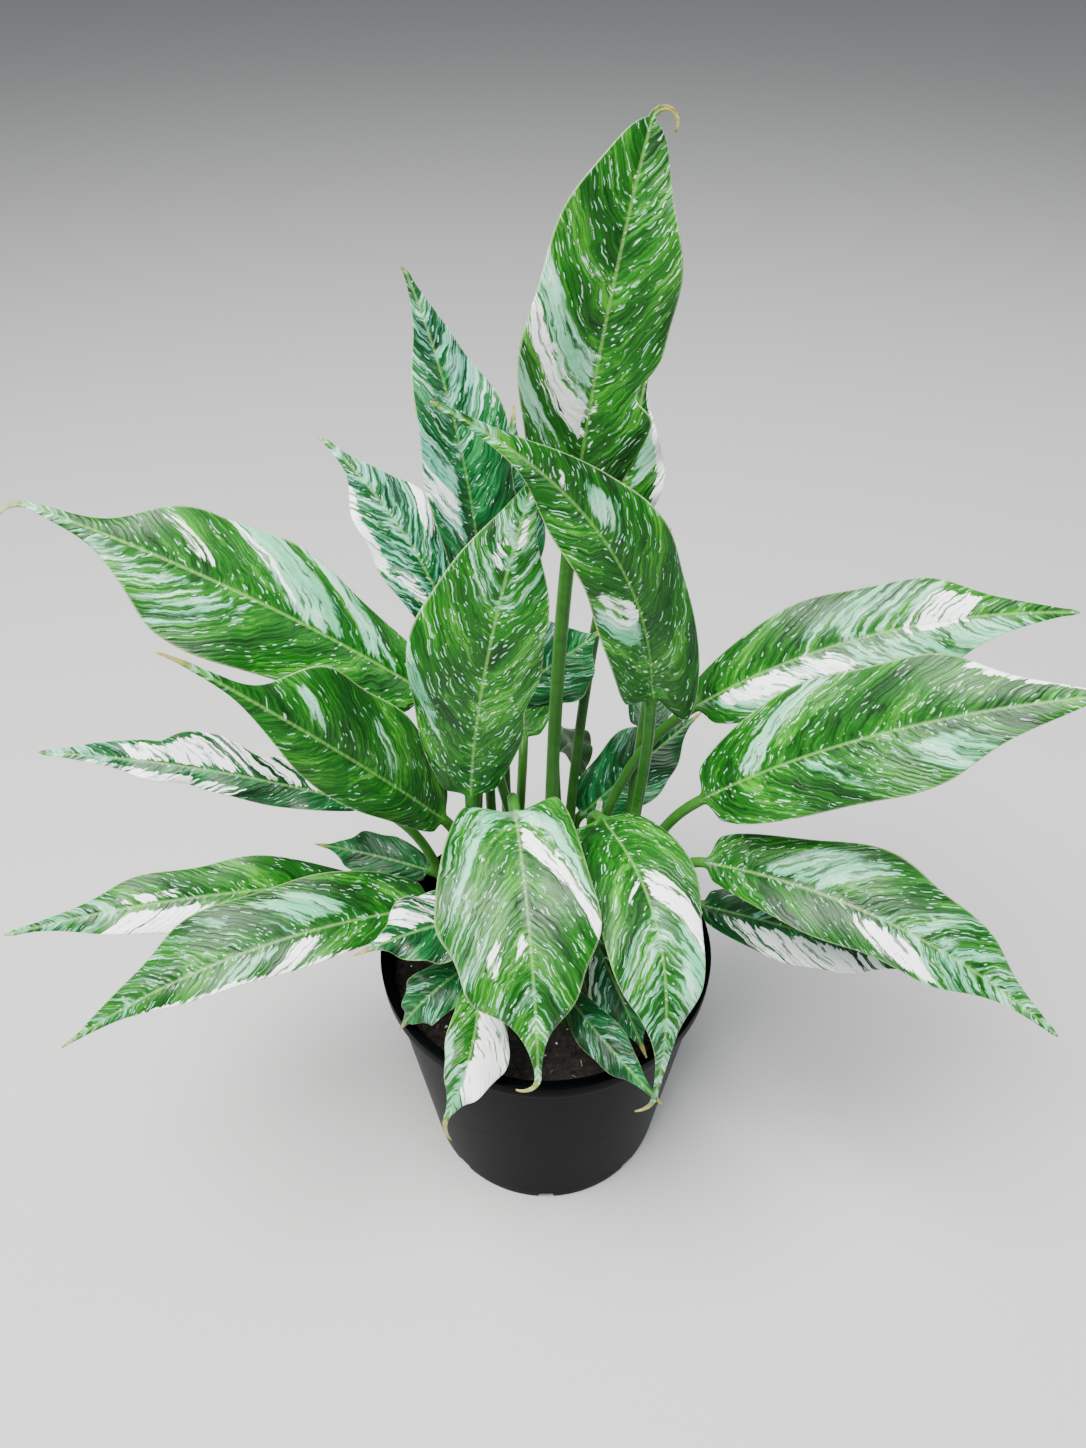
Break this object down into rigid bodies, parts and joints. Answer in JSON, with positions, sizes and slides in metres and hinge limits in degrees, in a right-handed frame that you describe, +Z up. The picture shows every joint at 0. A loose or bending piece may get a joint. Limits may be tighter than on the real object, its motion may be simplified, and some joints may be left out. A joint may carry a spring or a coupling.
{
  "type": "potted peace lily",
  "caption": "Variegated peace lily of upright and arching leaves, growing in soil in a tapered nursery pot that stands on its flat base.",
  "frame": {"origin": "centre of the pot's flat underside, on the surface that it stands on", "axes": "+Z up through the pot's axis to the leaves, -Y towards the front, +X to the right as seen from the front"},
  "size_m": [0.5511, 0.3239, 0.6073],
  "materials": {
    "pot_plastic": "satin black moulded plastic",
    "potting_soil": "dark moist potting mix of bark and peat with pale grit",
    "leaf_green": "satin leaf, mid green with mint and white patches",
    "leaf_blue_green": "satin leaf, bluish green with mint and white patches",
    "leaf_white": "satin young leaf, still rolled and nearly white"
  },
  "bodies": {
    "root": {"pot": "pot_plastic", "soil": "potting_soil", "leaf_tall": "leaf_green", "leaf_arched": "leaf_green", "leaf_left_back": "leaf_blue_green", "leaf_behind_tall": "leaf_green", "leaf_pale_back": "leaf_blue_green", "leaf_front_tall": "leaf_green", "leaf_left_middle": "leaf_blue_green", "leaf_big_left": "leaf_green", "leaf_right_tip": "leaf_green", "leaf_left_low": "leaf_green", "leaf_big_right": "leaf_green", "leaf_right_back": "leaf_green", "leaf_behind_stalk": "leaf_blue_green", "leaf_front_centre": "leaf_green", "leaf_white_left": "leaf_blue_green", "leaf_back_droop": "leaf_blue_green", "leaf_back_left": "leaf_green", "leaf_back_right": "leaf_blue_green", "leaf_front_right": "leaf_green", "leaf_young_white": "leaf_white", "leaf_right_dark": "leaf_blue_green", "leaf_far_left": "leaf_green", "leaf_right_front": "leaf_green", "leaf_left_front": "leaf_green", "leaf_under_left": "leaf_blue_green", "leaf_small_left": "leaf_blue_green", "leaf_under_right": "leaf_blue_green", "leaf_pot_left": "leaf_blue_green", "leaf_front_small": "leaf_green", "leaf_pot_right": "leaf_blue_green", "leaf_pot_right_low": "leaf_blue_green"}
  },
  "joints": []
}
